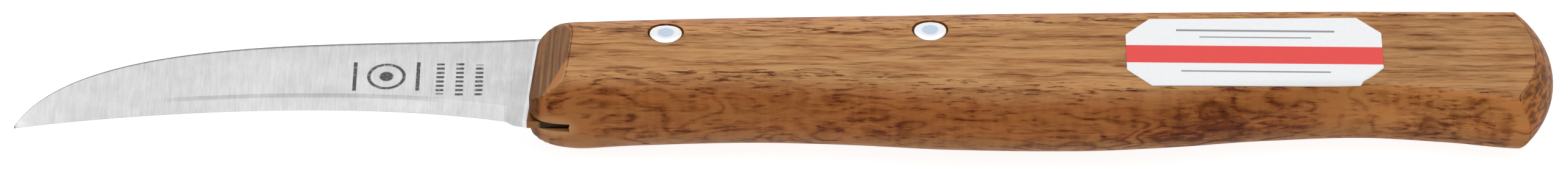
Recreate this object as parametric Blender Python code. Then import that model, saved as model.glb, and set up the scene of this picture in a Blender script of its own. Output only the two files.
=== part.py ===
"""A chip carving knife: a short beaked blade riveted into the saw kerf of a beech handle.

The knife lies on its side. +X runs from the blade to the butt, +Y from the cutting edge to the
spine, and +Z up, across the thickness. Each mesh is drawn with X = 0 at the front of the handle,
Y = 0 on its long axis and Z = 0 on the mid-plane of the blade; the root empty sets them down on
the floor, centred. All sizes are in metres.
"""

import math

import bmesh
import bpy

GAP = 0.0003

# Handle: its spine and belly (station, height), both drawn before the front corners are rounded
HANDLE_LENGTH = 0.10995
SPINE = (
    (0, 0.00753), (0.014, 0.00893), (0.028, 0.00944), (0.043, 0.00985), (0.052, 0.00992),
    (0.062, 0.00976), (0.08, 0.0096), (0.113, 0.00996),
)
BELLY = (
    (0, -0.0089), (0.005, -0.00755), (0.012, -0.0075), (0.024, -0.00721), (0.034, -0.00768),
    (0.0455, -0.00865), (0.059, -0.0089), (0.0685, -0.00814), (0.0785, -0.00674),
    (0.0892, -0.0059), (0.0985, -0.0067), (0.105, -0.00775), (0.113, -0.0083),
)
SPINE_SHOULDER = ((0, 0.0046), (0.014, 0.007), (0.028, 0.007), (0.043, 0.0067), (0.062, 0.0044),
                  (0.08, 0.003), (0.113, 0.003))
BELLY_SHOULDER = ((0, 0.0073), (0.005, 0.00362), (0.012, 0.00465), (0.024, 0.0047), (0.057, 0.0046),
                  (0.088, 0.002), (0.113, 0.002))
HALF_THICKNESS_FRONT = 0.0049
HALF_THICKNESS_BUTT = 0.0036
SPINE_CORNER = (0.0044, 0.0037)
BELLY_CORNER = (0.007, 0.0045)
FRONT_RAKE = 0.075
FRONT_AT_AXIS = 0.0005
RAKE_FADES_AT = 0.02
FRONT_STRIP_HALF = 0.0021
CHAMFER_LENGTH = 0.004
BUTT_DOME = (0.013, 0.014, 0.007)
BUTT_DOME_Y = 0.0005
STATION_STEP = 0.0025
SHOULDER_STEPS = 9
CORNER_STEPS = 8

# Saw kerf: cut from the spine with a disc, so its floor is an arc that leaves through the belly
SAW_RADIUS = 0.2
SAW_X = -0.0195
SAW_LOWEST_Y = -0.00877
KERF_REACH = (-0.005, 0.078)
KERF_STEP = 0.004

# Blade and tang: (x, y) poles of the curves of the back and of the cutting edge
BACK = ((0, 0.00715), (-0.0169, 0.00565), (-0.0488, 0.00886), (-0.055, -0.00722))
EDGE = ((0, -0.00672), (-0.01858, -0.00204), (-0.04454, -0.00518), (-0.055, -0.0073))
BLADE_STEPS = 36
BLADE_HALF_THICKNESS = 0.00045
TIP_HALF_THICKNESS = 0.00022
SHOULDER_HALF_THICKNESS = 0.00034
EDGE_HALF_THICKNESS = 0.00004
BEVEL_HEIGHT = 0.0024
BEVEL_SHARE_MOST = 0.4
HEEL_LENGTH = 0.0015
HEEL_FADE = 0.001
TANG_LENGTH = 0.054
TANG_TOP_RISE = 0.0015

# Rivets: plain pins with domed ends, (x, y) of each axis
FRONT_RIVET = (0.0147, 0.00325)
REAR_RIVET = (0.0431, 0.00407)
RIVET_RADIUS = 0.00185
RIVET_DOME = 0.0002
RIVET_SINK = 0.00005
RIVET_SIDES = 40

# Label: an oblong of paper with cut corners
LABEL_FRONT = 0.06415
LABEL_BACK = 0.0916
LABEL_LOW = -0.00485
LABEL_HIGH = 0.0062
LABEL_TURN = math.radians(1.3)
LABEL_CORNER = 0.0026
LABEL_THICKNESS = 0.00015

# Where the meshes' origin stands, from the middle of the floor under the knife
ROOT = (-0.02749, -0.000475, 0.0048491)


def along(points, x):
    """A smooth curve through (station, value) points, read at x."""
    i = max(k for k in range(len(points) - 1) if k == 0 or points[k][0] <= x)

    def slope(k):
        before, after = points[max(k - 1, 0)], points[min(k + 1, len(points) - 1)]
        return (after[1] - before[1]) / (after[0] - before[0])

    (x0, v0), (x1, v1) = points[i], points[i + 1]
    step = x1 - x0
    t = (x - x0) / step
    rest = 1 - t
    return (
        v0 * rest * rest * (1 + 2 * t)
        + v1 * t * t * (3 - 2 * t)
        + step * t * rest * (slope(i) * rest - slope(i + 1) * t)
    )


def bezier(poles, t):
    """The point at t of a cubic curve with four (x, y) poles."""
    rest = 1 - t
    weights = (rest**3, 3 * rest * rest * t, 3 * rest * t * t, t**3)
    return tuple(sum(w * pole[axis] for w, pole in zip(weights, poles)) for axis in (0, 1))


def half_thickness(x):
    """Half the handle's thickness: its two sides are flat, and closer together at the butt."""
    return HALF_THICKNESS_FRONT + (HALF_THICKNESS_BUTT - HALF_THICKNESS_FRONT) * x / HANDLE_LENGTH


def corner(x, size):
    """How far a rounded front corner of this length and height takes the outline inwards."""
    length, height = size
    if x >= length:
        return 0
    return height * (1 - math.sqrt(1 - (1 - x / length) ** 2))


def kerf_floor(x):
    return SAW_LOWEST_Y + SAW_RADIUS - math.sqrt(SAW_RADIUS**2 - (x - SAW_X) ** 2)


def handle_ring(station):
    """One section of the handle: flat sides and a quarter ellipse to each of spine and belly."""
    over, under = corner(station, SPINE_CORNER), corner(station, BELLY_CORNER)
    ends = (
        (along(SPINE, station) - over, along(SPINE_SHOULDER, station) - over, 1),
        (along(BELLY, station) + under, along(BELLY_SHOULDER, station) - under, -1),
    )
    lean = max(0, 1 - station / RAKE_FADES_AT)
    ring = []
    for extreme, shoulder, way in ends:
        for i in range(2 * SHOULDER_STEPS + 1):
            angle = math.pi * i / (2 * SHOULDER_STEPS)
            y = extreme + way * shoulder * (math.sin(angle) - 1)
            x = station + lean * (FRONT_AT_AXIS + FRONT_RAKE * y)
            ring.append((x, y, way * half_thickness(x) * math.cos(angle)))
    return ring


def mesh_object(name, mesh, material=None, location=(0, 0, 0)):
    obj = bpy.data.objects.new(name, mesh)
    obj.location = location
    if material:
        mesh.materials.append(material)
    bpy.context.scene.collection.objects.link(obj)
    return obj


def loft(name, rings):
    """A closed mesh over rings of points that are joined in order and capped at both ends."""
    bm = bmesh.new()
    rows = [[bm.verts.new(point) for point in ring] for ring in rings]
    for row, following in zip(rows, rows[1:]):
        for i in range(len(row)):
            bm.faces.new((row[i - 1], row[i], following[i], following[i - 1]))
    bm.faces.new(rows[0])
    bm.faces.new(rows[-1])
    bmesh.ops.recalc_face_normals(bm, faces=bm.faces)
    mesh = bpy.data.meshes.new(name)
    bm.to_mesh(mesh)
    bm.free()
    return mesh


def circle(radius, z, count=RIVET_SIDES):
    turns = [2 * math.pi * i / count for i in range(count)]
    return [(radius * math.cos(turn), radius * math.sin(turn), z) for turn in turns]


def cutter(name, rings, location=(0, 0, 0)):
    obj = mesh_object(name, loft(name, rings), location=location)
    obj.hide_render = True
    obj.display_type = "WIRE"
    return obj


def carve(obj, operation, tool):
    modifier = obj.modifiers.new(tool.name, "BOOLEAN")
    modifier.operation = operation
    modifier.solver = "EXACT"
    modifier.object = tool


def settle(obj, sharp_over=math.radians(24)):
    """Makes the carved shape the object's own mesh, smooth but for its sharp edges."""
    graph = bpy.context.evaluated_depsgraph_get()
    obj.data = bpy.data.meshes.new_from_object(obj.evaluated_get(graph))
    obj.modifiers.clear()
    obj.data.shade_smooth()
    obj.data.set_sharp_from_angle(angle=sharp_over)


def material(name, colour, roughness, metallic=0.0):
    made = bpy.data.materials.new(name)
    made.use_nodes = True
    shader = made.node_tree.nodes["Principled BSDF"]
    shader.inputs["Base Color"].default_value = (*colour, 1)
    shader.inputs["Roughness"].default_value = roughness
    shader.inputs["Metallic"].default_value = metallic
    return made


def handle_stations():
    corner_end = BELLY_CORNER[0]
    turns = [math.pi / 2 * i / CORNER_STEPS for i in range(CORNER_STEPS + 1)]
    stations = [corner_end * (1 - math.cos(turn)) for turn in turns]
    rest = HANDLE_LENGTH + STATION_STEP - corner_end
    count = round(rest / STATION_STEP)
    return stations + [corner_end + rest * (i + 1) / count for i in range(count)]


def butt_rings():
    """An elliptic rod that contains the whole handle and ends in the dome of the butt."""
    length, height, width = BUTT_DOME
    centre = HANDLE_LENGTH - length
    levels = [(-HANDLE_LENGTH, 1), (centre, 1)]
    for i in range(1, 19):
        turn = math.radians(89.4) * i / 18
        levels.append((centre + length * math.sin(turn), math.cos(turn)))
    return [
        [(x, BUTT_DOME_Y + height * share * a, width * share * b) for a, b, _ in circle(1, 0, 72)]
        for x, share in levels
    ]


def chamfer_rings(way):
    """A wedge whose long face planes one side's front edge back, along the lean of the front."""
    depth = half_thickness(0) - FRONT_STRIP_HALF
    profile = [(-0.5, -0.5), (1.5, 1.5), (-0.5, 1.5)]
    rings = []
    for y in (-0.012, 0.012):
        front = FRONT_AT_AXIS + FRONT_RAKE * y
        rings.append(
            [
                (front + CHAMFER_LENGTH * a, y, way * (FRONT_STRIP_HALF + depth * b))
                for a, b in profile
            ]
        )
    return rings


def kerf_rings():
    start, end = KERF_REACH
    count = round((end - start) / KERF_STEP)
    stations = [start + (end - start) * i / count for i in range(count + 1)]
    over = 2 * along(SPINE, end)
    side = [(x, kerf_floor(x)) for x in stations] + [(end, over), (start, over)]
    half = BLADE_HALF_THICKNESS + GAP
    return [[(x, y, z) for x, y in side] for z in (-half, half)]


def blade_ring(t):
    """A section of the blade: flat faces that taper a little, then a bevel down to the edge."""
    back, edge = bezier(BACK, t), bezier(EDGE, t)
    height = math.dist(back, edge)
    share = min(BEVEL_HEIGHT / height, BEVEL_SHARE_MOST)
    shoulder = tuple(e + (b - e) * share for b, e in zip(back, edge))
    thin = t**3
    ground = min(max((-edge[0] - HEEL_LENGTH) / HEEL_FADE, 0), 1)
    spine_half = BLADE_HALF_THICKNESS + (TIP_HALF_THICKNESS - BLADE_HALF_THICKNESS) * thin
    full = BLADE_HALF_THICKNESS + (SHOULDER_HALF_THICKNESS - BLADE_HALF_THICKNESS) * ground
    shoulder_half = full + (0.6 * TIP_HALF_THICKNESS - full) * thin
    edge_half = full + (EDGE_HALF_THICKNESS - full) * ground
    halves = ((back, spine_half), (shoulder, shoulder_half), (edge, edge_half))
    near = [(*at, half) for at, half in halves]
    far = [(*at, -half) for at, half in reversed(halves)]
    return near + far


def tang_ring(x):
    """A section of the tang: it follows the spine, and stands clear of the kerf's floor."""
    top = BACK[0][1] + TANG_TOP_RISE * x / TANG_LENGTH
    low = max(EDGE[0][1], kerf_floor(x) + GAP)
    share = BEVEL_HEIGHT / (BACK[0][1] - EDGE[0][1])
    levels = (top, low + (top - low) * share, low)
    near = [(x, y, BLADE_HALF_THICKNESS) for y in levels]
    far = [(x, y, -BLADE_HALF_THICKNESS) for y in reversed(levels)]
    return near + far


def blade_rings():
    count = round(TANG_LENGTH / STATION_STEP)
    tang = [tang_ring(TANG_LENGTH * (1 - i / count)) for i in range(count)]
    return tang + [blade_ring(i / BLADE_STEPS) for i in range(BLADE_STEPS)] + [blade_ring(0.998)]


def side_height(x, y):
    """Height over the mid-plane of the handle's side at a point, shoulders included."""
    over_top = y - along(SPINE, x) + along(SPINE_SHOULDER, x)
    over_low = along(BELLY, x) + along(BELLY_SHOULDER, x) - y
    bend = max(over_top / along(SPINE_SHOULDER, x), over_low / along(BELLY_SHOULDER, x), 0)
    return half_thickness(x) * math.sqrt(1 - bend * bend)


def rivet_rings(axis):
    """A pin ground flush with the handle's sides, its two ends a little domed."""
    levels = ((0.05, 0), (0.35, 0.13), (0.65, 0.44), (0.9, 0.8), (1, 1.6))

    def ring(share, drop, way):
        around = circle(RIVET_RADIUS * share, 0)
        below = RIVET_SINK + drop * RIVET_DOME
        return [(x, y, way * (side_height(axis[0] + x, axis[1] + y) - below)) for x, y, _ in around]

    upper = [ring(share, drop, 1) for share, drop in levels]
    return upper + [ring(share, drop, -1) for share, drop in reversed(levels)]


def turned_label(x, y):
    """Where a point of the upright label comes when the label is turned about its middle."""
    middle_x = (LABEL_FRONT + LABEL_BACK) / 2
    middle_y = (LABEL_LOW + LABEL_HIGH) / 2
    ahead = x - middle_x
    above = y - middle_y
    return (
        middle_x + ahead * math.cos(LABEL_TURN) - above * math.sin(LABEL_TURN),
        middle_y + ahead * math.sin(LABEL_TURN) + above * math.cos(LABEL_TURN),
    )


def label_rings():
    """The label in strips from its front end to its back end, lying along the handle's side."""
    across = 8
    ends = ((LABEL_FRONT, 1), (LABEL_FRONT + LABEL_CORNER, 0))
    ends += ((LABEL_BACK - LABEL_CORNER, 0), (LABEL_BACK, 1))
    rings = []
    for x, cut in ends:
        low = LABEL_LOW + cut * LABEL_CORNER
        high = LABEL_HIGH - cut * LABEL_CORNER
        heights = [low + (high - low) * i / across for i in range(across + 1)]
        spots = [turned_label(x, y) for y in heights]
        under = [(*spot, side_height(*spot) + GAP) for spot in spots]
        over = [(x, y, z + LABEL_THICKNESS) for x, y, z in reversed(under)]
        rings.append(under + over)
    return rings


for old in list(bpy.data.objects):
    bpy.data.objects.remove(old)

beech = material("beech", (0.43, 0.2, 0.09), 0.5)
steel = material("satin_steel", (0.62, 0.62, 0.62), 0.35, 1.0)
aluminium = material("aluminium", (0.75, 0.77, 0.8), 0.25, 1.0)
paper = material("label_paper", (0.8, 0.8, 0.83), 0.6)

root = bpy.data.objects.new("root", None)
root.location = ROOT
bpy.context.scene.collection.objects.link(root)

handle = mesh_object(
    "handle", loft("handle", [handle_ring(x) for x in handle_stations()]), beech
)
blade = mesh_object("blade", loft("blade", blade_rings()), steel)
label = mesh_object("label", loft("label", label_rings()), paper)
carve(handle, "INTERSECT", cutter("butt_form", butt_rings()))
carve(handle, "DIFFERENCE", cutter("near_chamfer", chamfer_rings(1)))
carve(handle, "DIFFERENCE", cutter("far_chamfer", chamfer_rings(-1)))
carve(handle, "DIFFERENCE", cutter("kerf", kerf_rings()))

rivets = []
for name, axis in (("front_rivet", FRONT_RIVET), ("rear_rivet", REAR_RIVET)):
    place = (*axis, 0)
    rivets.append(mesh_object(name, loft(name, rivet_rings(axis)), aluminium, place))
    bore = [circle(RIVET_RADIUS + GAP, z) for z in (-0.01, 0.01)]
    drill = cutter(name + "_bore", bore, place)
    carve(handle, "DIFFERENCE", drill)
    carve(blade, "DIFFERENCE", drill)

for piece in (handle, blade, label, *rivets):
    settle(piece)
    piece.parent = root
for helper in [obj for obj in bpy.data.objects if obj.hide_render]:
    bpy.data.objects.remove(helper)
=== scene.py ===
"""The looks of the chip carving knife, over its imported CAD: beech handle, ground steel blade,
polished rivets and a paper label, on a pale floor in soft light.

Shapes are worked out in millimetres, with X = 0 at the front of the handle, Y = 0 on its long
axis and Z = 0 on the blade's mid-plane, and are set down where the CAD's own pieces stand.
"""

import math

import bmesh
import bpy
import numpy as np
from mathutils import Matrix, Vector


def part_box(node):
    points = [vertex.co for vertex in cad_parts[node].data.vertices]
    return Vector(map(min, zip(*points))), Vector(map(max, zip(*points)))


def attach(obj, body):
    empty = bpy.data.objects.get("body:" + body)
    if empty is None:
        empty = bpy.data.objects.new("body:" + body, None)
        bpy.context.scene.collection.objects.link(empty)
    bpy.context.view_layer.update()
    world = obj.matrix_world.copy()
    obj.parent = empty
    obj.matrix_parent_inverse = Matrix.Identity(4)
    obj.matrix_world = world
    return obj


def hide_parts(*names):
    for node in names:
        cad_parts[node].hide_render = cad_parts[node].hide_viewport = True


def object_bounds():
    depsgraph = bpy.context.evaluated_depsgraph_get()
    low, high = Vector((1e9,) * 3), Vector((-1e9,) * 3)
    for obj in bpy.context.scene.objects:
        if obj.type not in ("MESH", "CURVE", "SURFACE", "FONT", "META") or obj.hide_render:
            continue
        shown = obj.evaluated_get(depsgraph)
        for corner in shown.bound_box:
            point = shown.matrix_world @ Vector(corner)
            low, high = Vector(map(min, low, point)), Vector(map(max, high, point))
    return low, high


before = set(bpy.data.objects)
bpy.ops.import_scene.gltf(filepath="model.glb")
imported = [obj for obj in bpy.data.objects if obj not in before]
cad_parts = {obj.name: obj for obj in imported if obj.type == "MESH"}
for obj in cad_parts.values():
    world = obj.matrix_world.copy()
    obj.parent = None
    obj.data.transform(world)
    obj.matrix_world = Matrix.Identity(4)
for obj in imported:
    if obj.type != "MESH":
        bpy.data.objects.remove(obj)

CAD_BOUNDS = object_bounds()
MM = 0.001

# Handle, the outline of the CAD: (station, height) of spine and belly, and what rounds them
HANDLE_LENGTH = 109.95
SPINE = (
    (0, 7.53), (14, 8.93), (28, 9.44), (43, 9.85), (52, 9.92), (62, 9.76), (80, 9.6), (113, 9.96),
)
BELLY = (
    (0, -8.9), (5, -7.55), (12, -7.5), (24, -7.21), (34, -7.68), (45.5, -8.65), (59, -8.9),
    (68.5, -8.14), (78.5, -6.74), (89.2, -5.9), (98.5, -6.7), (105, -7.75), (113, -8.3),
)
SPINE_SHOULDER = ((0, 4.6), (14, 7.0), (28, 7.0), (43, 6.7), (62, 4.4), (80, 3.0), (113, 3.0))
BELLY_SHOULDER = ((0, 7.3), (5, 3.62), (12, 4.65), (24, 4.7), (57, 4.6), (88, 2.0), (113, 2.0))
HALF_THICKNESS = (4.9, 3.6)  # at the front and at the butt
SPINE_CORNER = (4.4, 3.7)  # length and height of the rounding at the front
BELLY_CORNER = (7.0, 4.5)
FRONT_RAKE = 0.075
FRONT_AT_AXIS = 0.5
RAKE_FADES_AT = 20
FRONT_STRIP_HALF = 2.1
CHAMFER_LENGTH = 4.0
BUTT_DOME = (13.0, 14.0, 7.0)  # half axes along X, Y and Z
BUTT_DOME_Y = 0.5
BUTT_SEARCH_FROM = 80.0
BISECTIONS = 40
EDGE_ROUNDING = 0.16
CHAMFER_SOFTNESS = 0.12

# Rows of the handle's mesh: fine over the rounded and chamfered front, coarser behind it
FRONT_EDGE_ROWS = ((0, 1), (0.16, 0.45), (0.45, 0.14))  # shares of the rounding: ahead, inset
FRONT_ZONE = 9.0
FRONT_ROWS = 72
FRONT_ROW_SPREAD = 1.15
BODY_ROWS = 190
BUTT_EDGE_STEPS = (0.25, 0.5, 0.75)
BUTT_ROWS = 16
DOME_RIM = 1 - EDGE_ROUNDING / 6
SHOULDER_STEPS = 15
FLAT_STEPS = 18
HANDLE_SHARP_ANGLE = math.radians(32)

# Saw kerf, and how far the cutters of the kerf and of the rivet holes reach
SAW_RADIUS = 200.0
SAW_X = -19.5
SAW_LOWEST_Y = -8.77
KERF_HALF = 0.52
KERF_ENDS = (-5, 78)
KERF_TOP = 20
KERF_POINTS = 60
HOLE_REACH = 8

# Blade and tang: (x, y) poles of the curves of the back and of the cutting edge
BACK = ((0, 7.15), (-16.9, 5.65), (-48.8, 8.86), (-55, -7.22))
EDGE = ((0, -6.72), (-18.58, -2.04), (-44.54, -5.18), (-55, -7.3))
BLADE_ROWS = 130
LAST_BLADE_ROW = 0.999
BLADE_HALF = 0.45
TIP_HALF = 0.22
TIP_SHOULDER_HALF = 0.6 * TIP_HALF
SHOULDER_HALF = 0.2
EDGE_HALF = 0.03
BEVEL_HEIGHT = 2.4
BEVEL_SHARE_MOST = 0.4
HEEL_LENGTH = 1.5
HEEL_FADE = 1.0
BACK_ROUNDING = 0.08
BACK_ROUNDING_SHARE_MOST = 0.2
BACK_LINE = 0.025
TANG_LENGTH = 54.0
TANG_TOP_RISE = 1.5
TANG_CLEARANCE = 0.25
TANG_ROWS = 46
# Round a section of the blade: which points stay sharp, and the mark each one gives its material
BLADE_CREASES = (0, 6, 8, 9, 11, 17)
BLADE_SHARES = (0.0, 0.0, 0.05, 0.07, 0.3, 0.6, 0.9, 0.95, 1.0)

# Rivets and label
RIVETS = {"front_rivet": (14.7, 3.25), "rear_rivet": (43.1, 4.07)}
RIVET_RADIUS = 1.85
RIVET_GAP = 0.11
TANG_HOLE_GAP = 0.02
RIVET_PROFILE = (  # share of the radius, and height over the handle's surface
    (0.04, -0.055), (0.3, -0.05), (0.48, -0.028), (0.62, 0), (0.76, -0.012), (0.88, -0.06),
    (0.95, -0.13), (0.99, -0.24), (1, -0.4),
)
LABEL_X = (64.15, 91.6)
LABEL_Y = (-4.85, 6.2)
LABEL_TURN = math.radians(1.3)
LABEL_CORNER = 2.6
LABEL_THICKNESS = 0.09
LABEL_LIFT = 0.012
LABEL_ROWS = 26
LABEL_POINTS = 28
LABEL_SHARP_ANGLE = math.radians(40)


def srgb(*levels):
    """Linear colour from levels of 0 to 255."""
    shares = [level / 255 for level in levels]
    return tuple(s / 12.92 if s <= 0.04045 else ((s + 0.055) / 1.055) ** 2.4 for s in shares)


# Colours, and tints that multiply them
WOOD_LIGHT = srgb(194, 145, 96)
WOOD_MIDDLE = srgb(170, 120, 74)
WOOD_DARK = srgb(126, 74, 38)
WOOD_DARKEST = srgb(84, 44, 22)
WHITE = (1.0, 1.0, 1.0)
WARMTH_TINTS = ((1.0, 0.93, 0.84), (0.96, 1.0, 1.0))
# Partly the belly's own darker, redder wood and partly painted shade of the belly turned from the
# light
BELLY_TINT_AND_SHADE = (0.76, 0.51, 0.34)
REAR_SIDE_TINT = (0.9, 0.89, 0.88)
# The belly tint towards the butt: partly the wood's own colour and partly painted shade
REAR_BELLY_TINT_AND_SHADE = (0.98, 0.76, 0.54)
# Painted shade and painted reflection of the white floor: darker and greyer where the surface
# faces down
UNDERSIDE_SHADE_TINT = (0.62, 0.5, 0.38)
# End grain at the front: partly its own darker colour and partly painted shade of the bevel turned
# from the light
FRONT_GRAIN_AND_SHADE_TINTS = ((0.26, 0.22, 0.2), (0.54, 0.47, 0.44))
# Lighter painted tint for the bevel's lower part, below FACET_EDGE, in place of its painted shade
LOWER_FRONT_TINT = (0.8, 0.6, 0.42)
BUTT_TINTS = ((0.3, 0.2, 0.12), (0.9, 0.7, 0.46))
ETCHED = (0.07, 0.07, 0.075)
# Steel at the kerf's mouth is coloured brown
KERF_MOUTH_BROWN = (0.2, 0.09, 0.035)
# Painted shade: steel deeper in the kerf is darkened to near black
KERF_INSIDE_SHADE = (0.03, 0.02, 0.012)
RIVET_BRIGHT = (0.86, 0.87, 0.89)
# Painted reflection: the dish's bluish grey stands for the sky it reflects
RIVET_DISH_REFLECTION = (0.53, 0.62, 0.74)
PAPERS = (srgb(233, 234, 236), srgb(243, 244, 245))
REDS = (srgb(224, 48, 42), srgb(232, 58, 51))
RULE_GREY = srgb(96, 98, 104)
FLOOR_GREY = (0.3, 0.3, 0.3, 1)

# Noise in the wood and the steel: cells in a millimetre along X, Y and Z, detail, roughness, seed
WOOD_FIGURES = {
    "drift": ((0.022, 0.1, 0.1), 2.0, 0.5, 1.7),
    "swirl": ((0.14, 0.3, 0.35), 1.0, 0.5, 5.2),
    "ripple": ((0.45, 1.2, 1.1), 2.0, 0.5, 9.1),
    "fading": ((0.05, 0.3, 0.3), 2.0, 0.5, 3),
    "dashes": ((0.5, 3.1, 2.9), 3.0, 0.6, 7),
    "flecks": ((0.5, 3.1, 2.9), 2.0, 0.5, 29),
    "hairs": ((0.35, 5.5, 5.0), 2.0, 0.5, 8),
    "streaks": ((0.09, 1.3, 1.3), 4.0, 0.65, 11),
    "blotch": ((0.3, 0.6, 0.6), 3.0, 0.5, 31),
    "cross": ((1.1, 0.35, 0.35), 2.0, 0.5, 23),
    "warmth": ((0.1, 0.45, 0.45), 2.0, 0.5, 19),
    "front": ((2.4, 0.06, 1.6), 3.0, 0.5, 23),
    "butt": ((0.5, 0.9, 2.4), 3.0, 0.5, 37),
}
STEEL_FIGURES = {
    "fine": ((9.0, 0.22, 1.0), 3.0, 0.6, 2),
    "broad": ((1.5, 0.4, 1.0), 4.0, 0.65, 4),
    "cloud": ((0.12, 0.25, 1.0), 3.0, 0.5, 6),
    "wear": ((2.5, 2.5, 1), 2.0, 0.5, 8),
}

# Growth rings of the wood: their pitch, how they lean, and how dark they are across one ring
SIDE_RING_PITCH = 2.3
BELLY_RING_PITCH = 1.9
RING_LEAN_X = 0.008
RING_LEAN_Z = 0.12
BELLY_RING_LEAN = 0.07
SIDE_RING = ((0.0, 0.4), (0.07, 0.0), (0.5, 0.15), (0.8, 0.4), (0.93, 1.0), (1.0, 0.4))
BELLY_RING = ((0.0, 0.4), (0.16, 0.0), (0.5, 0.1), (0.66, 0.6), (0.8, 1.0), (1.0, 0.4))

# The rest of the wood: its tone, the slit in the belly, the front bevel and the surface
WOOD_TONE = 0.13
SLIT_MIDDLE_X = 3.0
SLIT_SHAPE = 0.6
# Below this line the front bevel's painted shade gives way to a lighter painted tint, standing for
# the surface beyond the bevel
FACET_EDGE = (-1.84, 9.06)  # slope and height of the line where the front bevel turns lighter
WOOD_ROUGHNESS = 0.46
WOOD_IOR = 1.46
WOOD_SPECULAR = 0.12
WOOD_RELIEF = 0.03

# Steel, and the generic device etched in it: centres and half sizes
STEEL_LEVEL = 0.53
STEEL_ROUGHNESS = 0.34
STEEL_ANISOTROPY = 0.4
STEEL_RELIEF = 0.006
DEVICE_CENTRE = (-15.4, 1.0)
DEVICE_RING = (1.9, 0.18, 0.06)  # radius, half width and softness
DEVICE_DOT = (0.65, 0.85)
DEVICE_BARS = ((-12.0, 1.0, 0.2, 2.3), (-18.8, 1.0, 0.2, 2.3))
HATCHED_BARS = ((-9.6, 0.6, 0.42, 2.5), (-7.5, 0.5, 0.42, 2.9), (-5.4, 0.4, 0.42, 2.5))
HATCH_TURNS = 9.0
BAR_SOFTNESS = 0.05

# Rivets and label: the dish and its turning marks, the printed band and rules
DISH_EDGE = (0.72, 1.05)
TURNING_MARKS = 60.0
RIVET_ROUGHNESS = 0.16
RIVET_RELIEF = 0.004
PRINT_SOFTNESS = 0.04
RED_BAND = (0.1, 1.45)  # middle and half height
RULES = ((4.1, 0.16, 69.5, 86.5), (3.0, 0.1, 72, 84), (-2.7, 0.12, 70, 86))
RULE_STRENGTH = 0.8
PAPER_FIBRES = ((1.8, 1.8, 1.8), 5.0, 0.7)
PAPER_ROUGHNESS = 0.42
PAPER_RELIEF = 0.01

# Floor, sky and lamp, in metres
FLOOR_HALF = 2.5
FLOOR_DROP = 0.00002
FLOOR_GLOW = 0.9
FLOOR_ROUGHNESS = 0.9
SKY_RANGE = (-0.8, 0.6)
SKY_LEVELS = (0.25, 1.0)
LAMP_PLACE = (0.0, 0.2, 1.5)
LAMP_SIZE = (2.0, 2.0)
LAMP_POWER = 12

# Camera: the view's centre and width are in millimetres, the distance and clip in metres
VIEW_ELEVATION = math.radians(40)
VIEW_AZIMUTH = math.radians(1.7)
VIEW_WIDTH = 168.5
VIEW_CENTRE = (27.4, 0.0, 0.0)
FRAME_ASPECT = 278 / 2576
CAMERA_DISTANCE = 1.2
CAMERA_LENS = 170
CAMERA_CLIP_END = 20


def frame_origin():
    """Where the millimetre axes' origin stands, read from the CAD's own boxes."""
    handle_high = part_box("handle")[1]
    blade_low, blade_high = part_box("blade")
    rivet_low, rivet_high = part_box("front_rivet")
    return Vector((
        handle_high[0] - HANDLE_LENGTH * MM,
        (rivet_low[1] + rivet_high[1]) / 2 - RIVETS["front_rivet"][1] * MM,
        (blade_low[2] + blade_high[2]) / 2,
    ))


ORIGIN = frame_origin()


# Curves and sections ---------------------------------------------------------------------------

def along(points, x):
    """A smooth curve through (station, value) points, read at each of the numbers x."""
    stations, values = np.array(points, float).T
    before = np.maximum(np.arange(len(points)) - 1, 0)
    after = np.minimum(np.arange(len(points)) + 1, len(points) - 1)
    slopes = (values[after] - values[before]) / (stations[after] - stations[before])
    x = np.asarray(x, float)
    i = np.clip(np.searchsorted(stations, x, side="right") - 1, 0, len(points) - 2)
    step = stations[i + 1] - stations[i]
    t = (x - stations[i]) / step
    rest = 1 - t
    return (
        values[i] * rest**2 * (1 + 2 * t)
        + values[i + 1] * t**2 * (3 - 2 * t)
        + step * t * rest * (slopes[i] * rest - slopes[i + 1] * t)
    )


def bezier(poles, t):
    """The point at t of a cubic curve with four (x, y) poles."""
    rest = 1 - t
    weights = (rest**3, 3 * rest * rest * t, 3 * rest * t * t, t**3)
    return np.array([sum(w * pole[axis] for w, pole in zip(weights, poles)) for axis in (0, 1)])


def half_thickness(x):
    """Half the handle's thickness: the two sides are flat, and closer together at the butt."""
    front, butt = HALF_THICKNESS
    return front + (butt - front) * np.asarray(x) / HANDLE_LENGTH


def corner(station, size):
    """How far a rounded front corner of this length and height takes the outline inwards."""
    length, height = size
    inside = np.clip(1 - np.asarray(station, float) / length, 0, 1)
    return height * (1 - np.sqrt(1 - inside**2))


def kerf_floor(x):
    """The height of the saw kerf's floor, an arc of the saw disc."""
    return SAW_LOWEST_Y + SAW_RADIUS - np.sqrt(SAW_RADIUS**2 - (x - SAW_X) ** 2)


def soft_least(a, b, softness):
    """The lesser of a and b, with the crease between them rounded over."""
    share = np.clip(0.5 + 0.5 * (b - a) / softness, 0, 1)
    return b + (a - b) * share - softness * share * (1 - share)


def section_turns():
    """Round one section of the handle: (part, share) for each point, from the near side's top.

    Parts 0 and 2 are the quarter-ellipse shoulders over spine and belly, where share is the
    angle, and parts 1 and 3 are the far and near flats, where share runs along the flat.
    """
    turns = []
    for shoulder in (0, 2):
        for i in range(2 * SHOULDER_STEPS + 1):
            turns.append((shoulder, math.pi * i / (2 * SHOULDER_STEPS)))
        turns += [(shoulder + 1, i / FLAT_STEPS) for i in range(1, FLAT_STEPS)]
    return np.array(turns).T


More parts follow.
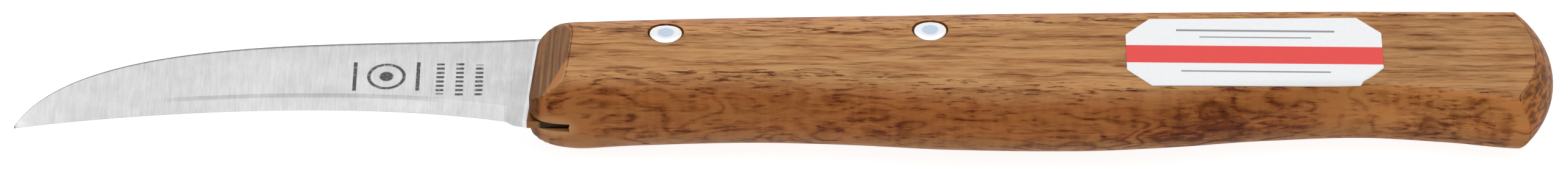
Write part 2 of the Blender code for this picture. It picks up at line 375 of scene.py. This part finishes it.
def handle_points(station, turns):
    """Points of the handle's long surface, chamfers included, at these stations and turns."""
    part, share = turns
    top = along(SPINE, station) - corner(station, SPINE_CORNER)
    low = along(BELLY, station) + corner(station, BELLY_CORNER)
    top_flat = along(SPINE, station) - along(SPINE_SHOULDER, station)
    low_flat = along(BELLY, station) + along(BELLY_SHOULDER, station)
    over_spine = top_flat + (top - top_flat) * np.sin(share)
    over_belly = low_flat + (low - low_flat) * np.sin(share)
    far = top_flat + (low_flat - top_flat) * share
    near = low_flat + (top_flat - low_flat) * share
    y = np.choose(part.astype(int), [over_spine, far, over_belly, near])
    across = np.choose(
        part.astype(int),
        [np.cos(share), -np.ones_like(share), -np.cos(share), np.ones_like(share)],
    )
    lean = np.clip(1 - station / RAKE_FADES_AT, 0, 1)
    front = FRONT_AT_AXIS + FRONT_RAKE * y
    x = station + lean * front
    slope = (HALF_THICKNESS[0] - FRONT_STRIP_HALF) / CHAMFER_LENGTH
    chamfer = FRONT_STRIP_HALF + slope * (x - front)
    depth = soft_least(half_thickness(x) * np.abs(across), chamfer, CHAMFER_SOFTNESS)
    return np.stack([x, y, np.sign(across) * depth], axis=-1)


def dome_x(y, z):
    """The butt's domed end: its station at height y and depth z."""
    length, height, width = BUTT_DOME
    inside = 1 - ((y - BUTT_DOME_Y) / height) ** 2 - (z / width) ** 2
    return HANDLE_LENGTH - length * (1 - np.sqrt(np.clip(inside, 0, 1)))


def butt_stations(turns):
    """For each turn, the station at which the handle's long surface meets the dome."""
    low = np.full(turns.shape[1], BUTT_SEARCH_FROM)
    high = np.full(turns.shape[1], HANDLE_LENGTH + 1)
    for _ in range(BISECTIONS):
        middle = (low + high) / 2
        x, y, z = handle_points(middle, turns).T
        inside = x < dome_x(y, z)
        low = np.where(inside, middle, low)
        high = np.where(inside, high, middle)
    return low


def handle_rows():
    """Rows of points from the front face to the middle of the butt, edges rounded over."""
    turns = section_turns()
    ends = butt_stations(turns)
    rows = []
    for ahead, inset in FRONT_EDGE_ROWS:
        row = handle_points(np.full(len(ends), ahead * EDGE_ROUNDING), turns)
        row[:, 1] *= 1 - inset * EDGE_ROUNDING / BUTT_DOME[1]
        row[:, 2] -= np.clip(row[:, 2], -1, 1) * inset * EDGE_ROUNDING
        rows.append(row)
    for i in range(FRONT_ROWS + 1):
        share = i / FRONT_ROWS
        station = EDGE_ROUNDING + (FRONT_ZONE - EDGE_ROUNDING) * share**FRONT_ROW_SPREAD
        rows.append(handle_points(np.full(len(ends), station), turns))
    last = ends - EDGE_ROUNDING
    for i in range(1, BODY_ROWS + 1):
        rows.append(handle_points(FRONT_ZONE + (last - FRONT_ZONE) * i / BODY_ROWS, turns))
    before = rows[-1]
    rim = handle_points(ends, turns)

    def on_dome(scale):
        y = BUTT_DOME_Y + (rim[:, 1] - BUTT_DOME_Y) * scale
        z = rim[:, 2] * scale
        return np.stack([dome_x(y, z), y, z], axis=-1)

    first = on_dome(DOME_RIM)
    for t in BUTT_EDGE_STEPS:
        rest = 1 - t
        rows.append(rest * rest * before + 2 * rest * t * rim + t * t * first)
    rows.append(first)
    for i in range(1, BUTT_ROWS):
        rows.append(on_dome(DOME_RIM * (1 - i / BUTT_ROWS)))
    return rows


def side_depth(x, y):
    """Depth of the handle's near side at a point, its rounded shoulders included."""
    over_spine = y - along(SPINE, x) + along(SPINE_SHOULDER, x)
    over_belly = along(BELLY, x) + along(BELLY_SHOULDER, x) - y
    bend = np.maximum(over_spine / along(SPINE_SHOULDER, x), over_belly / along(BELLY_SHOULDER, x))
    return half_thickness(x) * np.sqrt(1 - np.clip(bend, 0, 1) ** 2)


# Meshes ----------------------------------------------------------------------------------------

def loft(name, rows, creases=(), shares=None):
    """A closed mesh object over rows of points in millimetres.

    Creases are the indices in a row of points to keep sharp, and shares are numbers for the
    points of a row, kept on the mesh as "share" for its material.
    """
    bm = bmesh.new()
    made = [[bm.verts.new(Vector(point) * MM + ORIGIN) for point in row] for row in rows]
    for row, following in zip(made, made[1:]):
        for i in range(len(row)):
            bm.faces.new((row[i - 1], row[i], following[i], following[i - 1]))
    bm.faces.new(made[0])
    bm.faces.new(made[-1])
    for row, following in zip(made, made[1:]):
        for i in creases:
            bm.edges.get((row[i], following[i])).smooth = False
    bmesh.ops.recalc_face_normals(bm, faces=bm.faces)
    for face in bm.faces:
        face.smooth = True
    mesh = bpy.data.meshes.new(name)
    bm.to_mesh(mesh)
    bm.free()
    if shares is not None:
        kept = mesh.attributes.new("share", "FLOAT", "POINT")
        kept.data.foreach_set("value", np.tile(np.asarray(shares, np.float32), len(rows)))
    obj = bpy.data.objects.new(name, mesh)
    bpy.context.scene.collection.objects.link(obj)
    return obj


def cut(obj, rows):
    """Takes the closed shape over these rows out of the object, for good."""
    tool = loft("cutter", rows)
    modifier = obj.modifiers.new("cut", "BOOLEAN")
    modifier.operation = "DIFFERENCE"
    modifier.solver = "EXACT"
    modifier.object = tool
    graph = bpy.context.evaluated_depsgraph_get()
    obj.data = bpy.data.meshes.new_from_object(obj.evaluated_get(graph))
    obj.modifiers.clear()
    bpy.data.objects.remove(tool)


def circle(radius, z, centre, count=72):
    """Points round a circle at depth z."""
    turns = [2 * math.pi * i / count for i in range(count)]
    return [(centre[0] + radius * math.cos(t), centre[1] + radius * math.sin(t), z) for t in turns]


def cut_hole(obj, radius, centre):
    cut(obj, [circle(radius, z, centre) for z in (-HOLE_REACH, HOLE_REACH)])


def kerf_rows():
    """The two sides of what the saw takes out, open at the spine and at the front."""
    front, rear = KERF_ENDS
    side = [(x, kerf_floor(x)) for x in np.linspace(front, rear, KERF_POINTS)]
    side += [(rear, KERF_TOP), (front, KERF_TOP)]
    return [[(x, y, z) for x, y in side] for z in (-KERF_HALF, KERF_HALF)]


def build_handle():
    handle = loft("beech_handle", handle_rows())
    cut(handle, kerf_rows())
    for centre in RIVETS.values():
        cut_hole(handle, RIVET_RADIUS + RIVET_GAP, centre)
    handle.data.shade_smooth()
    handle.data.set_sharp_from_angle(angle=HANDLE_SHARP_ANGLE)
    return handle


def section_of_blade(back, edge, halves):
    """Round a section: rounded back, face, bevel shoulder and edge, then the far side."""
    back_half, shoulder_half, edge_half = halves
    down = edge - back
    height = np.hypot(*down)
    share = 1 - min(BEVEL_HEIGHT / height, BEVEL_SHARE_MOST)
    rounding = min(BACK_ROUNDING, BACK_ROUNDING_SHARE_MOST * height)
    start = rounding / height
    side = [
        (0, back_half - rounding),
        (0.3 * rounding / height, back_half - 0.3 * rounding),
        (start, back_half),
    ]
    side += [
        (start + (share - start) * f, back_half + (shoulder_half - back_half) * f)
        for f in (BACK_LINE, 0.33, 0.66, 1)
    ]
    side += [(share + (1 - share) * 0.5, (shoulder_half + edge_half) / 2), (1, edge_half)]
    near = [(*(back + down * f), half) for f, half in side]
    far = [(*(back + down * f), -half) for f, half in reversed(side)]
    return near + far


def blade_row(t):
    """The blade's section at t of its curves, full at the heel and thin at the tip."""
    back, edge = bezier(BACK, t), bezier(EDGE, t)
    thin = t**3
    ground = np.clip((-edge[0] - HEEL_LENGTH) / HEEL_FADE, 0, 1)
    ground = ground * ground * (3 - 2 * ground)
    full = BLADE_HALF + (SHOULDER_HALF - BLADE_HALF) * ground
    halves = (
        BLADE_HALF + (TIP_HALF - BLADE_HALF) * thin,
        full + (TIP_SHOULDER_HALF - full) * thin,
        full + (EDGE_HALF - full) * ground,
    )
    return section_of_blade(back, edge, halves)


def tang_row(x):
    """The tang's section at x, clear of the kerf's floor."""
    top = BACK[0][1] + TANG_TOP_RISE * x / TANG_LENGTH
    low = max(EDGE[0][1], kerf_floor(x) + TANG_CLEARANCE)
    return section_of_blade(np.array((x, top)), np.array((x, low)), (BLADE_HALF,) * 3)


def build_blade():
    rows = [tang_row(x) for x in np.linspace(TANG_LENGTH, 0, TANG_ROWS)[:-1]]
    rows += [blade_row(t) for t in np.linspace(0, LAST_BLADE_ROW, BLADE_ROWS)]
    blade = loft("ground_blade", rows, BLADE_CREASES, BLADE_SHARES + BLADE_SHARES[::-1])
    for centre in RIVETS.values():
        cut_hole(blade, RIVET_RADIUS + TANG_HOLE_GAP, centre)
    return blade


def build_rivet(name, centre):
    """A pin whose ends follow the handle's surface: a shallow dish inside a rounded rim."""

    def ring(share, above, way):
        around = circle(RIVET_RADIUS * share, 0, centre)
        return [(x, y, way * (float(side_depth(x, y)) + above)) for x, y, _ in around]

    upper = [ring(share, above, 1) for share, above in RIVET_PROFILE]
    lower = [ring(share, above, -1) for share, above in reversed(RIVET_PROFILE)]
    return loft(name + "_metal", upper + lower)


def turned_label(x, y):
    """Where a point of the upright label comes when the label is turned about its middle."""
    middle_x, middle_y = sum(LABEL_X) / 2, sum(LABEL_Y) / 2
    ahead, above = x - middle_x, y - middle_y
    return (
        middle_x + ahead * math.cos(LABEL_TURN) - above * math.sin(LABEL_TURN),
        middle_y + ahead * math.sin(LABEL_TURN) + above * math.cos(LABEL_TURN),
    )


def build_label():
    """A sheet of paper laid along the side, over the start of its shoulders."""
    front, back = LABEL_X
    stations = [front, front + LABEL_CORNER]
    stations += list(np.linspace(front + LABEL_CORNER, back - LABEL_CORNER, LABEL_ROWS)[1:])
    stations.append(back)
    rows = []
    for x in stations:
        cut_off = max(front + LABEL_CORNER - x, x - back + LABEL_CORNER, 0)
        heights = np.linspace(LABEL_Y[0] + cut_off, LABEL_Y[1] - cut_off, LABEL_POINTS)
        spots = [turned_label(x, y) for y in heights]
        under = [(*spot, float(side_depth(*spot)) + LABEL_LIFT) for spot in spots]
        over = [(x, y, z + LABEL_THICKNESS) for x, y, z in reversed(under)]
        rows.append(under + over)
    label = loft("paper_label", rows)
    label.data.set_sharp_from_angle(angle=LABEL_SHARP_ANGLE)
    return label


# Materials -------------------------------------------------------------------------------------

class Shade:
    """A material under construction: short calls that add one node each and return its output."""

    def __init__(self, name):
        self.material = bpy.data.materials.new(name)
        self.material.use_nodes = True
        self.tree = self.material.node_tree
        self.shader = self.tree.nodes["Principled BSDF"]

    def node(self, kind, **settings):
        made = self.tree.nodes.new(kind)
        for key, value in settings.items():
            setattr(made, key, value)
        return made

    def feed(self, socket, value):
        if isinstance(value, bpy.types.NodeSocket):
            self.tree.links.new(value, socket)
        else:
            socket.default_value = value

    def set(self, name, value):
        self.feed(self.shader.inputs[name], value)

    def math(self, operation, *values):
        made = self.node("ShaderNodeMath", operation=operation)
        for socket, value in zip(made.inputs, values):
            self.feed(socket, value)
        return made.outputs[0]

    def chain(self, operation, values):
        result = values[0]
        for value in values[1:]:
            result = self.math(operation, result, value)
        return result

    def total(self, *values):
        return self.chain("ADD", values)

    def times(self, *values):
        return self.chain("MULTIPLY", values)

    def less(self, value, taken):
        return self.math("SUBTRACT", value, taken)

    def size(self, value):
        return self.math("ABSOLUTE", value)

    def distance(self, *offsets):
        squares = [self.math("POWER", offset, 2.0) for offset in offsets]
        return self.math("SQRT", self.total(*squares))

    def step(self, value, start, end, low=0.0, high=1.0):
        """Eases from low to high as value goes from start to end."""
        made = self.node("ShaderNodeMapRange", interpolation_type="SMOOTHSTEP")
        for socket, given in zip(made.inputs, (value, start, end, low, high)):
            self.feed(socket, given)
        return made.outputs[0]

    def within(self, value, centre, half, softness):
        """1 where value is within half of centre and 0 beyond, easing over softness each way."""
        away = self.size(self.less(value, centre))
        return self.step(away, half - softness, half + softness, 1, 0)

    def millimetres(self):
        """The point in millimetres, on the axes that the shapes are drawn on."""
        place = self.node("ShaderNodeTexCoord").outputs["Object"]
        moved = self.node("ShaderNodeVectorMath", operation="SUBTRACT")
        self.feed(moved.inputs[0], place)
        self.feed(moved.inputs[1], ORIGIN)
        scaled = self.node("ShaderNodeVectorMath", operation="SCALE")
        self.feed(scaled.inputs[0], moved.outputs[0])
        scaled.inputs["Scale"].default_value = 1 / MM
        return scaled.outputs[0]

    def split(self, vector):
        made = self.node("ShaderNodeSeparateXYZ")
        self.feed(made.inputs[0], vector)
        return made.outputs

    def noise(self, point, stretch, detail=2.0, roughness=0.5, seed=0.0):
        """Noise from about 0 to 1; stretch is how many of its cells go in a millimetre."""
        mapped = self.node("ShaderNodeMapping")
        self.feed(mapped.inputs["Vector"], point)
        mapped.inputs["Scale"].default_value = stretch
        mapped.inputs["Location"].default_value = (seed, 2.3 * seed, 4.1 * seed)
        made = self.node("ShaderNodeTexNoise")
        self.feed(made.inputs["Vector"], mapped.outputs[0])
        made.inputs["Scale"].default_value = 1.0
        made.inputs["Detail"].default_value = detail
        made.inputs["Roughness"].default_value = roughness
        return made.outputs["Fac"]

    def figures(self, point, table):
        """The noises that a table names."""
        return {name: self.noise(point, *settings) for name, settings in table.items()}

    def centred(self, noise, size):
        return self.times(self.less(noise, 0.5), size)

    def ramp(self, value, stops):
        """Eases between the stops, each a position and a colour or a level of grey."""
        made = self.node("ShaderNodeValToRGB")
        self.feed(made.inputs[0], value)
        elements = made.color_ramp.elements
        while len(elements) < len(stops):
            elements.new(0.5)
        for element, (position, colour) in zip(elements, stops):
            element.position = position
            element.color = (*(colour if isinstance(colour, tuple) else (colour,) * 3), 1)
        return made.outputs[0]

    def mix(self, share, first, second, blend="MIX"):
        made = self.node("ShaderNodeMix", data_type="RGBA", blend_type=blend)
        self.feed(made.inputs["Factor"], share)
        for socket, value in ((made.inputs[6], first), (made.inputs[7], second)):
            self.feed(socket, (*value, 1) if isinstance(value, tuple) else value)
        return made.outputs[2]

    def tint(self, colour, tint):
        return self.mix(1.0, colour, tint, "MULTIPLY")

    def bump(self, height, strength, distance):
        """Relief of this depth in millimetres."""
        made = self.node("ShaderNodeBump")
        self.feed(made.inputs["Height"], height)
        made.inputs["Strength"].default_value = strength
        made.inputs["Distance"].default_value = distance * MM
        self.set("Normal", made.outputs[0])


def unraked_station(m, x, y):
    """The station with the front's rake taken out: FRONT_AT_AXIS all over the handle's front."""
    return m.less(x, m.times(y, FRONT_RAKE))


def beech():
    """Wood whose growth rings are wavy sheets that lie level along the handle, across Y.

    Its sides cut the rings on edge, in lines, and its spine and belly cut them flat, in arcs.
    """
    m = Shade("beech")
    point = m.millimetres()
    x, y, z = m.split(point)
    normal_x, normal_y, normal_z = m.split(m.node("ShaderNodeTexCoord").outputs["Normal"])
    steep_x, steep_y = m.size(normal_x), m.size(normal_y)
    figure = m.figures(point, WOOD_FIGURES)

    # Places: spine and belly, where the sides turn into them, the underside (given painted shade),
    # rear, ends and slit
    tangential = m.step(steep_y, 0.1, 0.75)
    radial = m.less(1.0, tangential)
    turning = m.less(m.step(steep_y, 0.0, 0.14, 0.3, 1.7), m.times(tangential, 0.6))
    under = m.step(normal_z, -0.35, 0.1, 1, 0)
    rear = m.step(x, 80.0, 94.0)
    end_grain = m.step(steep_x, 0.3, 0.6)
    along_grain = m.less(m.less(1.0, m.times(end_grain, 0.9)), m.times(tangential, 0.3))
    off_slit = m.distance(m.times(m.less(x, SLIT_MIDDLE_X), SLIT_SHAPE), z)

    # Growth rings
    rough = m.less(1.0, m.times(tangential, 0.6))
    swirl = m.step(figure["swirl"], 0.2, 0.8, -2.6, 2.6)
    wave = m.total(
        m.centred(figure["drift"], 3.0),
        m.times(swirl, m.total(m.times(tangential, 0.7), 0.3)),
        m.times(m.centred(figure["ripple"], 0.7), rough),
        m.step(off_slit, 0.0, 3.0, 2.2, 0),
    )
    height = m.total(y, m.times(z, RING_LEAN_Z), m.times(x, RING_LEAN_X), wave)
    side_ring = m.math("FRACT", m.math("DIVIDE", height, SIDE_RING_PITCH))
    belly_height = m.total(height, m.times(x, BELLY_RING_LEAN))
    belly_ring = m.math("FRACT", m.math("DIVIDE", belly_height, BELLY_RING_PITCH))
    ring_lines = m.mix(tangential, m.ramp(side_ring, SIDE_RING), m.ramp(belly_ring, BELLY_RING))
    lines = m.times(ring_lines, m.step(figure["fading"], 0.35, 0.65, 0.35, 0.8))

    # Marks finer than the rings, painted shade along the level line and the rims, and the tone
    # that they all add up to: light at 0, dark at 1
    dashes = m.step(figure["dashes"], 0.53, 0.66)
    flecks = m.step(figure["flecks"], 0.54, 0.68)
    hairs = m.step(figure["hairs"], 0.52, 0.7)
    # Painted shade: a patchy dark line where the surface turns from facing up to facing down
    horizon_shade_line = m.step(m.size(m.total(normal_z, 0.02)), 0.03, 0.1, 0.3, 0)
    # Painted shade along the rounded rims, where the surface starts to turn towards an end
    rim = m.times(m.step(steep_x, 0.06, 0.14), 0.4, m.step(steep_x, 0.25, 0.4, 1, 0))
    grain = m.total(
        m.times(lines, m.total(m.times(tangential, 0.4), 0.45)),
        m.times(dashes, 0.42, turning),
        m.times(flecks, -0.36, turning),
        m.times(hairs, 0.2, radial),
        m.times(m.centred(figure["cross"], 0.8), tangential),
        m.times(m.centred(figure["blotch"], 0.45), m.total(tangential, 0.3)),
        m.times(m.centred(figure["streaks"], 1.7), radial),
        m.times(horizon_shade_line, m.step(figure["blotch"], 0.4, 0.6)),
    )
    tone = m.total(
        WOOD_TONE,
        # painted shade on the rims
        rim,
        m.times(grain, along_grain),
        # Lighter round the slit, in part painted highlight
        m.step(off_slit, 0.5, 3.5, -0.25, 0),
        m.times(tangential, m.step(x, 60.0, 90.0, -0.07, -0.13)),
        m.times(tangential, m.step(x, 96.5, 100.5, 0, -0.18)),
        m.times(m.step(x, 4.0, 9.0, -0.3, 0), m.step(y, -4.5, -0.5, 1, 0)),
    )
    colour = m.ramp(tone, (
        (0.0, WOOD_LIGHT), (0.3, WOOD_MIDDLE), (0.6, WOOD_DARK), (1.0, WOOD_DARKEST),
    ))

    # Tints by place, some of them painted shade, then the painted highlight round the slit and the
    # painted shadow at the front face
    warm = m.ramp(figure["warmth"], ((0.3, WARMTH_TINTS[0]), (0.7, WARMTH_TINTS[1])))
    side_tint = m.mix(rear, WHITE, REAR_SIDE_TINT)
    # Spine and belly take their tints, partly the wood's own colour and partly painted shade
    turned = m.mix(tangential, side_tint, m.mix(rear, BELLY_TINT_AND_SHADE, REAR_BELLY_TINT_AND_SHADE))
    # Painted shade: surfaces facing down are darkened and greyed as if lit only from the floor
    turned = m.mix(under, turned, UNDERSIDE_SHADE_TINT)
    colour = m.tint(m.tint(colour, warm), turned)
    over_facet_edge = m.total(y, m.times(x, FACET_EDGE[0]), FACET_EDGE[1])
    # The front's end grain, darkened partly by its own colour and partly as painted shade
    front_grain_and_shade = m.mix(m.step(figure["front"], 0.35, 0.65), *FRONT_GRAIN_AND_SHADE_TINTS)
    front_grain_and_shade = m.mix(m.step(over_facet_edge, -0.5, 0.5, 1, 0), front_grain_and_shade, LOWER_FRONT_TINT)
    butt_end = m.mix(m.step(figure["butt"], 0.35, 0.65), *BUTT_TINTS)
    end_tint = m.mix(m.step(normal_x, -0.05, 0.05), front_grain_and_shade, butt_end)
    colour = m.mix(end_grain, colour, m.tint(colour, end_tint))
    # Painted highlight: the pale rim round the slit, as if catching the light
    colour = m.mix(m.step(off_slit, 0.9, 1.8, 0.55, 0), colour, WOOD_LIGHT)
    unraked = unraked_station(m, x, y)
    # Painted shadow: the handle's front face and its first tenths of a millimetre darkened, as in
    # the gap against the blade
    front_gap_shadow = m.step(unraked, FRONT_AT_AXIS + 0.15, FRONT_AT_AXIS + 0.45, 0.65, 0)
    m.set("Base Color", m.mix(front_gap_shadow, colour, WOOD_DARKEST))

    streaks = figure["streaks"]
    m.set("Roughness", m.total(WOOD_ROUGHNESS, m.centred(streaks, 0.15), m.times(dashes, 0.12)))
    relief = m.total(m.times(dashes, -0.8), m.times(lines, -0.4), m.centred(streaks, 0.5))
    m.bump(relief, 0.4, WOOD_RELIEF)
    m.set("IOR", WOOD_IOR)
    m.set("Specular IOR Level", WOOD_SPECULAR)
    return m.material


def etched_device(m, x, y):
    """1 where the steel is etched: a ring with a dot, two bars, and three hatched bars."""

    def bar(centre_x, centre_y, half_x, half_y):
        return m.times(
            m.within(x, centre_x, half_x, BAR_SOFTNESS),
            m.within(y, centre_y, half_y, BAR_SOFTNESS),
        )

    around = m.distance(m.less(x, DEVICE_CENTRE[0]), m.less(y, DEVICE_CENTRE[1]))
    dot = m.step(around, *DEVICE_DOT, 1, 0)
    hatch = m.step(m.math("SINE", m.times(y, HATCH_TURNS)), -0.3, 0.3)
    return m.total(
        m.within(around, *DEVICE_RING),
        dot,
        *(bar(*sizes) for sizes in DEVICE_BARS),
        *(m.times(bar(*sizes), hatch) for sizes in HATCHED_BARS),
    )


def ground_steel():
    """Satin steel, ground across the blade, with a generic etched device near the handle."""
    m = Shade("ground_steel")
    point = m.millimetres()
    x, y, z = m.split(point)
    figure = m.figures(point, STEEL_FIGURES)
    fine = figure["fine"]
    unraked = unraked_station(m, x, y)

    # The mesh's "share" runs from 0 at the back over 0.9 at the bevel's shoulder to 1 at the edge
    share = m.node("ShaderNodeAttribute", attribute_name="share").outputs["Fac"]
    bevel_line = m.times(
        m.step(m.size(m.less(share, 0.9)), 0.012, 0.026, -0.12, 0),
        m.step(x, -42.0, -34.0),
        m.step(x, -13.0, -8.0, 1, 0),
    )
    brightness = m.total(
        STEEL_LEVEL,
        m.centred(fine, 0.2),
        m.centred(figure["broad"], 0.2),
        m.centred(figure["cloud"], 0.14),
        # Painted highlight: a bright strip on the steel where it meets the handle's front
        m.step(unraked, -0.1, 0.1, 0, 0.17),
        # Painted shade: the rounded back darker than the flats
        m.step(share, 0.06, 0.085, -0.3, 0),
        m.times(m.step(share, 0.88, 0.92), -0.025),
        bevel_line,
    )
    steel = m.ramp(brightness, ((0.0, 0.0), (1.0, 1.0)))
    in_kerf = m.step(unraked, FRONT_AT_AXIS - 0.1, FRONT_AT_AXIS)
    # Steel in the kerf: brown at the mouth, then near black as painted shade further in
    kerf_brown_and_shade = m.mix(m.step(x, 1.1, 1.5), KERF_MOUTH_BROWN, KERF_INSIDE_SHADE)
    near_side = m.step(z, 0.0, 0.1)
    worn = m.step(figure["wear"], 0.25, 0.5, 0.55, 1)
    etched = m.times(etched_device(m, x, y), near_side, worn)

    m.set("Base Color", m.mix(etched, m.mix(in_kerf, steel, kerf_brown_and_shade), ETCHED))
    m.set("Metallic", m.less(1.0, m.times(etched, 0.5)))
    m.set("Roughness", m.total(STEEL_ROUGHNESS, m.centred(fine, 0.2), m.times(etched, 0.2)))
    m.set("Anisotropic", STEEL_ANISOTROPY)
    m.bump(m.total(fine, m.times(etched, -1.0)), 0.25, STEEL_RELIEF)
    return m.material


def rivet_metal(name, centre):
    """Polished aluminium, with the finely turned dish of a set end in its middle, painted bluish
    grey as a reflection.
    """
    m = Shade(name)
    point = m.millimetres()
    x, y, _ = m.split(point)
    radius = m.distance(m.less(x, centre[0]), m.less(y, centre[1]))
    dish = m.step(radius, *DISH_EDGE, 1, 0)
    turned = m.math("SINE", m.times(radius, TURNING_MARKS))
    scratches = m.noise(point, (2.0, 7.0, 3.0), detail=3.0, seed=3)
    # Painted reflection: the dish is given a bluish grey
    m.set("Base Color", m.mix(dish, RIVET_BRIGHT, RIVET_DISH_REFLECTION))
    m.set("Roughness", m.total(RIVET_ROUGHNESS, m.times(dish, 0.14), m.centred(scratches, 0.12)))
    m.set("Metallic", 1.0)
    m.bump(m.total(m.times(turned, m.times(dish, 0.3)), scratches), 0.15, RIVET_RELIEF)
    return m.material


def label_paper():
    """White paper with a plain printed band and rules; no lettering."""
    m = Shade("label_paper")
    point = m.millimetres()
    x, y, _ = m.split(point)
    fibres = m.noise(point, *PAPER_FIBRES)

    def printed(middle, half, start=LABEL_X[0] - 1, end=LABEL_X[1] + 1):
        return m.times(
            m.within(y, middle, half, PRINT_SOFTNESS),
            m.times(
                m.step(x, start - PRINT_SOFTNESS, start + PRINT_SOFTNESS),
                m.step(x, end - PRINT_SOFTNESS, end + PRINT_SOFTNESS, 1, 0),
            ),
        )

    colour = m.mix(printed(*RED_BAND), m.mix(fibres, *PAPERS), m.mix(fibres, *REDS))
    for rule in RULES:
        colour = m.mix(m.times(printed(*rule), RULE_STRENGTH), colour, RULE_GREY)
    m.set("Base Color", colour)
    m.set("Roughness", m.total(PAPER_ROUGHNESS, m.centred(fibres, 0.1)))
    m.bump(fibres, 0.1, PAPER_RELIEF)
    return m.material


# The knife -------------------------------------------------------------------------------------

def dress(obj, material, node):
    obj.data.materials.clear()
    obj.data.materials.append(material)
    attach(obj, "root")
    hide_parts(node)


dress(build_handle(), beech(), "handle")
dress(build_blade(), ground_steel(), "blade")
for rivet, centre in RIVETS.items():
    metal = rivet_metal(rivet + "_aluminium", centre)
    dress(build_rivet(rivet, centre), metal, rivet)
dress(build_label(), label_paper(), "label")


# Floor, light and camera -----------------------------------------------------------------------

def build_floor():
    """A pale floor, which glows so that it comes out white."""
    bm = bmesh.new()
    corners = [(x * FLOOR_HALF, y * FLOOR_HALF) for x, y in ((-1, -1), (1, -1), (1, 1), (-1, 1))]
    bm.faces.new([bm.verts.new((x, y, CAD_BOUNDS[0][2] - FLOOR_DROP)) for x, y in corners])
    mesh = bpy.data.meshes.new("floor")
    bm.to_mesh(mesh)
    bm.free()
    floor = bpy.data.objects.new("floor", mesh)
    bpy.context.scene.collection.objects.link(floor)
    m = Shade("floor_white")
    m.set("Base Color", FLOOR_GREY)
    m.set("Roughness", FLOOR_ROUGHNESS)
    m.set("Emission Color", (*WHITE, 1))
    m.set("Emission Strength", FLOOR_GLOW)
    mesh.materials.append(m.material)


def build_lamp():
    """One soft lamp overhead, aimed at the knife and hidden from the camera."""
    data = bpy.data.lights.new("overhead", "AREA")
    data.shape = "RECTANGLE"
    data.size, data.size_y = LAMP_SIZE
    data.energy = LAMP_POWER
    lamp = bpy.data.objects.new("overhead", data)
    lamp.visible_camera = False
    bpy.context.scene.collection.objects.link(lamp)
    lamp.location = LAMP_PLACE
    towards_knife = Vector((0, 0, 0)) - Vector(LAMP_PLACE)
    lamp.rotation_euler = towards_knife.to_track_quat("-Z", "Y").to_euler()


def build_world():
    """A pale sky, brighter behind and over the knife than on the camera's side."""
    world = bpy.data.worlds.new("studio")
    world.use_nodes = True
    tree = world.node_tree
    place = tree.nodes.new("ShaderNodeTexCoord")
    split = tree.nodes.new("ShaderNodeSeparateXYZ")
    level = tree.nodes.new("ShaderNodeMapRange")
    tree.links.new(place.outputs["Generated"], split.inputs[0])
    tree.links.new(split.outputs["Y"], level.inputs["Value"])
    sockets = ("From Min", "From Max", "To Min", "To Max")
    for name, value in zip(sockets, (*SKY_RANGE, *SKY_LEVELS)):
        level.inputs[name].default_value = value
    background = tree.nodes["Background"]
    background.inputs["Color"].default_value = (*WHITE, 1)
    tree.links.new(level.outputs[0], background.inputs["Strength"])
    bpy.context.scene.world = world


def build_camera():
    """A camera without roll that looks down on the labelled side, from beyond the cutting edge."""
    data = bpy.data.cameras.new("camera")
    data.sensor_fit = "VERTICAL"
    data.lens = CAMERA_LENS
    data.sensor_height = CAMERA_LENS * VIEW_WIDTH * MM * FRAME_ASPECT / CAMERA_DISTANCE
    data.clip_end = CAMERA_CLIP_END
    camera = bpy.data.objects.new("camera", data)
    bpy.context.scene.collection.objects.link(camera)
    target = ORIGIN + Vector(VIEW_CENTRE) * MM
    level = math.cos(VIEW_ELEVATION)
    away = Vector((
        math.sin(VIEW_AZIMUTH) * level, -math.cos(VIEW_AZIMUTH) * level, math.sin(VIEW_ELEVATION),
    ))
    right = (Vector((1, 0, 0)) - away * away.x).normalized()
    camera.location = target + away * CAMERA_DISTANCE
    camera.rotation_euler = Matrix((right, away.cross(right), away)).transposed().to_euler()
    bpy.context.scene.camera = camera


bpy.context.scene.view_settings.view_transform = "Standard"
build_floor()
build_world()
build_lamp()
build_camera()
